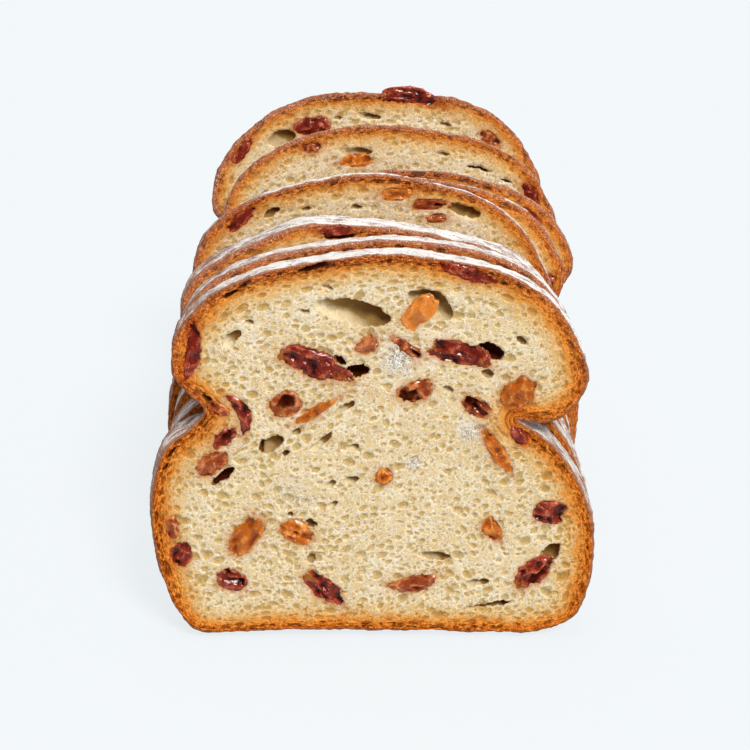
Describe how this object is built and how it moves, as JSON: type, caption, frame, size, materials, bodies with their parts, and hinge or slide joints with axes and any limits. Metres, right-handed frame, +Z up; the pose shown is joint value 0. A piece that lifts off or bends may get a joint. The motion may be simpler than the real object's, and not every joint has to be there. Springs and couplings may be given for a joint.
{
  "type": "raisin bread",
  "caption": "Tin-baked raisin loaf cut into thick slices that stand in a row and lean back, with raisins set in the crumb and flour on the crowns.",
  "frame": {"origin": "middle of the row's footprint, on the surface it stands on", "axes": "+Z up, +Y along the row from the first cut face to the last, +X to the right seen from the first cut face"},
  "size_m": [0.1262, 0.1476, 0.1078],
  "materials": {
    "bread": "porous cream crumb with a browned, floured crust",
    "raisin_dark": "glossy wrinkled dark red skin",
    "raisin_red": "glossy wrinkled red-brown skin",
    "raisin_golden": "glossy wrinkled amber skin"
  },
  "bodies": {
    "root": {"slice_1": "bread", "slice_2": "bread", "slice_3": "bread", "slice_4": "bread", "slice_5": "bread", "slice_6": "bread", "slice_7": "bread", "slice_8": "bread", "raisin_1_01": "raisin_dark", "raisin_1_02": "raisin_golden", "raisin_1_03": "raisin_dark", "raisin_1_04": "raisin_dark", "raisin_1_05": "raisin_red", "raisin_1_06": "raisin_red", "raisin_1_07": "raisin_dark", "raisin_1_08": "raisin_red", "raisin_1_09": "raisin_red", "raisin_1_10": "raisin_golden", "raisin_1_11": "raisin_golden", "raisin_1_12": "raisin_red", "raisin_1_13": "raisin_dark", "raisin_1_14": "raisin_red", "raisin_1_15": "raisin_dark", "raisin_1_16": "raisin_red", "raisin_1_17": "raisin_golden", "raisin_1_18": "raisin_golden", "raisin_1_19": "raisin_dark", "raisin_1_20": "raisin_dark", "raisin_1_21": "raisin_golden", "raisin_1_22": "raisin_dark", "raisin_1_23": "raisin_red", "raisin_1_24": "raisin_dark", "raisin_1_25": "raisin_dark", "raisin_1_26": "raisin_golden", "raisin_1_27": "raisin_golden", "raisin_1_28": "raisin_dark", "raisin_1_29": "raisin_red", "raisin_3_01": "raisin_dark", "raisin_4_01": "raisin_golden", "raisin_4_02": "raisin_red", "raisin_4_03": "raisin_red", "raisin_4_04": "raisin_dark", "raisin_5_01": "raisin_dark", "raisin_6_01": "raisin_dark", "raisin_7_01": "raisin_golden", "raisin_7_02": "raisin_red", "raisin_7_03": "raisin_dark", "raisin_8_01": "raisin_dark", "raisin_8_02": "raisin_dark", "raisin_8_03": "raisin_dark", "raisin_8_04": "raisin_red", "raisin_back_01": "raisin_dark", "raisin_back_02": "raisin_red", "raisin_back_03": "raisin_dark", "raisin_back_04": "raisin_golden", "raisin_back_05": "raisin_dark", "raisin_back_06": "raisin_red", "raisin_back_07": "raisin_dark"}
  },
  "joints": []
}
